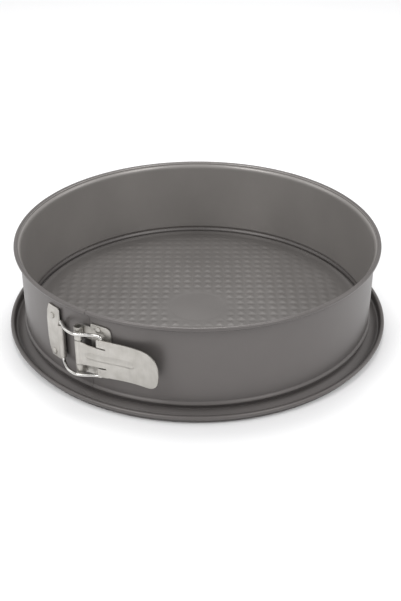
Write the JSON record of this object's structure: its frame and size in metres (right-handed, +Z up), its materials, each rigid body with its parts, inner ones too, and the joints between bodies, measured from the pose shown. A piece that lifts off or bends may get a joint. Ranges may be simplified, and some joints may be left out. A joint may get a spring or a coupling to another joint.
{
  "type": "springform pan",
  "caption": "Round springform cake pan: a base with a drip gutter, a clamping hoop with rolled rim, and an over-centre wire-bail clasp.",
  "frame": {"origin": "middle of the base's underside, on the surface that the pan stands on", "axes": "+Z up, the clasp on the -Y side, +X to the right as the clasp is seen from outside"},
  "size_m": [0.2854, 0.2854, 0.0696],
  "materials": {
    "coated_steel": "satin grey non-stick coating on sheet steel",
    "nickel_steel": "matte nickel-plated pressed steel",
    "bright_wire": "bright nickel-plated round wire"
  },
  "bodies": {
    "base": {"base_plate": "coated_steel"},
    "hoop_back": {"hoop_back": "coated_steel"},
    "hoop_right": {"hoop_right": "coated_steel", "hinge_bracket": "nickel_steel", "bracket_rivet_upper": "nickel_steel", "bracket_rivet_lower": "nickel_steel", "hinge_pin": "nickel_steel"},
    "hoop_left": {"hoop_left": "coated_steel", "catch_plate": "nickel_steel", "catch_rivet_upper": "nickel_steel", "catch_rivet_lower": "nickel_steel"},
    "lever": {"lever": "nickel_steel"},
    "bail": {"bail_wire": "bright_wire"}
  },
  "joints": [
    {"name": "ring_lift", "type": "slide", "parent": "base", "child": "hoop_back", "axis": [0, 0, 1], "range_m": [0, 0.09]},
    {"name": "right_flex", "type": "hinge", "parent": "hoop_back", "child": "hoop_right", "pos_m": [0.0459, 0.12611, 0.036], "axis": [0, 0, 1], "range_deg": [0, 1]},
    {"name": "left_flex", "type": "hinge", "parent": "hoop_back", "child": "hoop_left", "pos_m": [-0.0459, 0.12611, 0.036], "axis": [0, 0, -1], "range_deg": [0, 1]},
    {"name": "lever_swing", "type": "hinge", "parent": "hoop_right", "child": "lever", "pos_m": [0.0115, -0.1349, 0.0385], "axis": [0, 0, -1], "range_deg": [0, 95]},
    {"name": "bail_swing", "type": "hinge", "parent": "hoop_left", "child": "bail", "pos_m": [-0.0065, -0.1336, 0.0375], "axis": [0, 0, -1], "range_deg": [0, 36]}
  ],
  "couplings": [
    {"joint": "right_flex", "follows": "lever_swing", "ratio": 0.01014},
    {"joint": "left_flex", "follows": "lever_swing", "ratio": 0.01014},
    {"joint": "bail_swing", "follows": "lever_swing", "ratio": 0.3692}
  ]
}
